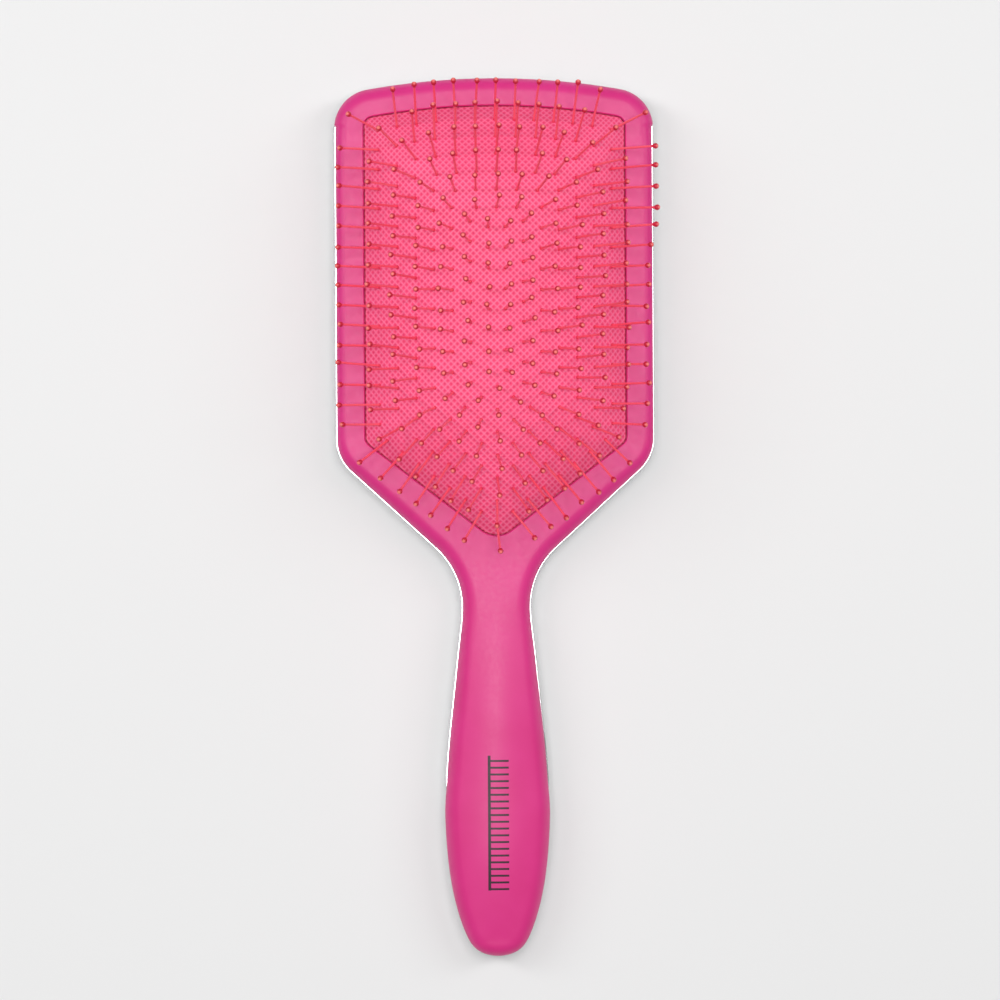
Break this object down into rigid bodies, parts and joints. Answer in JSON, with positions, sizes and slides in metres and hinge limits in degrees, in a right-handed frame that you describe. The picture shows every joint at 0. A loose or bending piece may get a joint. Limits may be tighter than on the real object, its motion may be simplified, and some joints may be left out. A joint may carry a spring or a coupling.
{
  "type": "paddle brush",
  "caption": "Flat paddle hair brush: two-shell body with a tapered handle, a domed rubber cushion pad and ball-tipped pins that sink as the pad is pressed.",
  "frame": {"origin": "on the surface the brush lies on, under the middle of its length and width", "axes": "+X across the brush, +Y from the handle's tip to the top of the head, +Z the way the pins point; the brush lies on its back"},
  "size_m": [0.0902, 0.248, 0.0434],
  "materials": {
    "plated_shell": "mirror-bright plating on moulded plastic",
    "soft_touch_shell": "pink soft-touch coat, satin",
    "inner_frame": "plain moulded plastic, unseen",
    "pad_rubber": "bright pink rubber with a fine diamond texture",
    "pins": "coral nylon, slightly glossy, a little translucent"
  },
  "bodies": {
    "housing": {"back_shell": "plated_shell", "front_shell": "soft_touch_shell", "pad_clamp_frame": "inner_frame", "cushion_pad": "pad_rubber"},
    "pin_ring7": {"pins_ring7_left": "pins", "pins_ring7_right": "pins", "pins_ring7_vee": "pins"},
    "pin_ring6": {"pins_ring6_left": "pins", "pins_ring6_right": "pins", "pins_ring6_top": "pins", "pins_ring6_vee": "pins"},
    "pin_ring5": {"pins_ring5_left": "pins", "pins_ring5_right": "pins", "pins_ring5_top": "pins", "pins_ring5_vee": "pins"},
    "pin_ring4": {"pins_ring4_left": "pins", "pins_ring4_right": "pins", "pins_ring4_top": "pins", "pins_ring4_vee": "pins"},
    "pin_ring3": {"pins_ring3_left": "pins", "pins_ring3_right": "pins", "pins_ring3_top": "pins", "pins_ring3_vee": "pins"},
    "pin_ring2": {"pins_ring2_left": "pins", "pins_ring2_right": "pins", "pins_ring2_top": "pins", "pins_ring2_vee": "pins"},
    "pin_ring1": {"pins_ring1_left": "pins", "pins_ring1_right": "pins", "pins_ring1_top": "pins", "pins_ring1_vee": "pins"}
  },
  "joints": [
    {"name": "cushion_press", "type": "slide", "parent": "housing", "child": "pin_ring7", "axis": [0, 0, -1], "range_m": [0, 0.006], "stiffness_N_per_m": 1500, "deforming": ["cushion_pad"]},
    {"name": "ring6_press", "type": "slide", "parent": "housing", "child": "pin_ring6", "axis": [0, 0, -1], "range_m": [0, 0.00578]},
    {"name": "ring5_press", "type": "slide", "parent": "housing", "child": "pin_ring5", "axis": [0, 0, -1], "range_m": [0, 0.00539]},
    {"name": "ring4_press", "type": "slide", "parent": "housing", "child": "pin_ring4", "axis": [0, 0, -1], "range_m": [0, 0.00481]},
    {"name": "ring3_press", "type": "slide", "parent": "housing", "child": "pin_ring3", "axis": [0, 0, -1], "range_m": [0, 0.004]},
    {"name": "ring2_press", "type": "slide", "parent": "housing", "child": "pin_ring2", "axis": [0, 0, -1], "range_m": [0, 0.00293]},
    {"name": "ring1_press", "type": "slide", "parent": "housing", "child": "pin_ring1", "axis": [0, 0, -1], "range_m": [0, 0.00151]}
  ],
  "couplings": [
    {"joint": "ring6_press", "follows": "cushion_press", "ratio": 0.963},
    {"joint": "ring5_press", "follows": "cushion_press", "ratio": 0.898},
    {"joint": "ring4_press", "follows": "cushion_press", "ratio": 0.801},
    {"joint": "ring3_press", "follows": "cushion_press", "ratio": 0.667},
    {"joint": "ring2_press", "follows": "cushion_press", "ratio": 0.488},
    {"joint": "ring1_press", "follows": "cushion_press", "ratio": 0.252}
  ]
}
